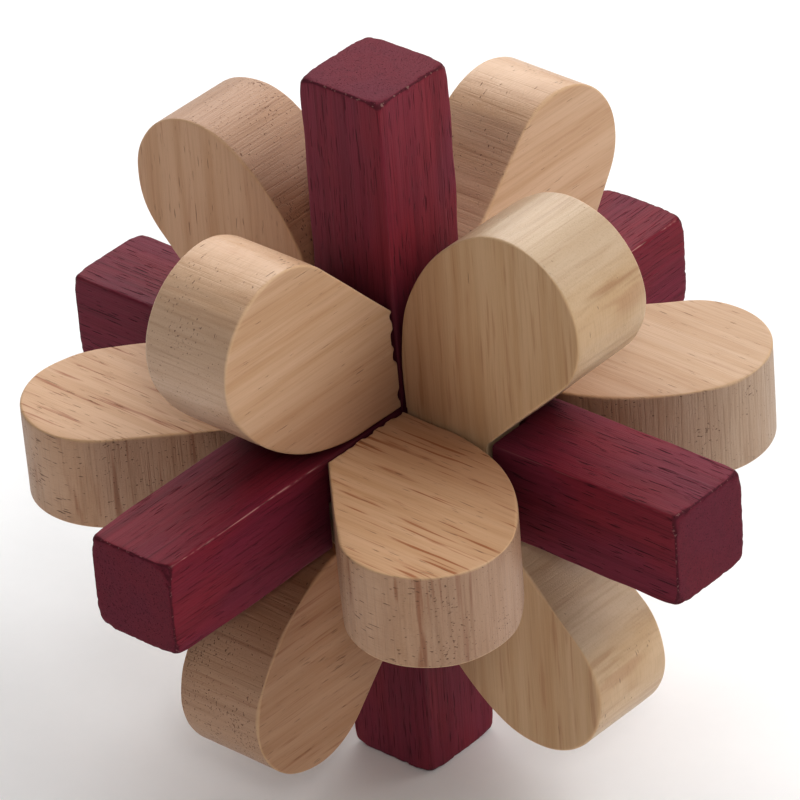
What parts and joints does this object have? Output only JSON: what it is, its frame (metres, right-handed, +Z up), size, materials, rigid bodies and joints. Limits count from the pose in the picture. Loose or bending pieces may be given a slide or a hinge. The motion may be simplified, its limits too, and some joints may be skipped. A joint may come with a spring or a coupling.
{
  "type": "wooden burr puzzle",
  "caption": "Interlocking wooden burr: dyed square bars crossing at right angles, locked by pale two-lobed plates that fan out like petals; the key bar slides to open it.",
  "frame": {"origin": "the point where the three bars' centre lines cross", "axes": "+Z up along the upright bar, +X along the cross bar, and the key bar lies along Y and slides out towards -Y"},
  "size_m": [0.092, 0.092, 0.092],
  "materials": {
    "dyed_bar_wood": "burgundy dyed hardwood with a thin satin finish, end grain darker",
    "pale_plate_wood": "natural pale tan hardwood, sanded, with brown pore flecks and a low sheen"
  },
  "bodies": {
    "core": {"cross_bar": "dyed_bar_wood", "upright_bar": "dyed_bar_wood", "top_plate": "pale_plate_wood", "bottom_plate": "pale_plate_wood", "back_plate": "pale_plate_wood"},
    "key_bar": {"key_bar": "dyed_bar_wood"},
    "front_plate": {"front_plate": "pale_plate_wood"},
    "right_plate": {"right_plate": "pale_plate_wood"},
    "left_plate": {"left_plate": "pale_plate_wood"}
  },
  "joints": [
    {"name": "key_bar_slide", "type": "slide", "parent": "core", "child": "key_bar", "axis": [0, -1, 0], "range_m": [0, 0.007]},
    {"name": "front_plate_slide", "type": "slide", "parent": "core", "child": "front_plate", "axis": [0, -1, 0], "range_m": [0, 0.007]},
    {"name": "right_plate_slide", "type": "slide", "parent": "core", "child": "right_plate", "axis": [0, -1, 0], "range_m": [0, 0.007]},
    {"name": "left_plate_slide", "type": "slide", "parent": "core", "child": "left_plate", "axis": [0, -1, 0], "range_m": [0, 0.007]}
  ],
  "couplings": [
    {"joint": "front_plate_slide", "follows": "key_bar_slide", "ratio": 1},
    {"joint": "right_plate_slide", "follows": "key_bar_slide", "ratio": 1},
    {"joint": "left_plate_slide", "follows": "key_bar_slide", "ratio": 1}
  ]
}
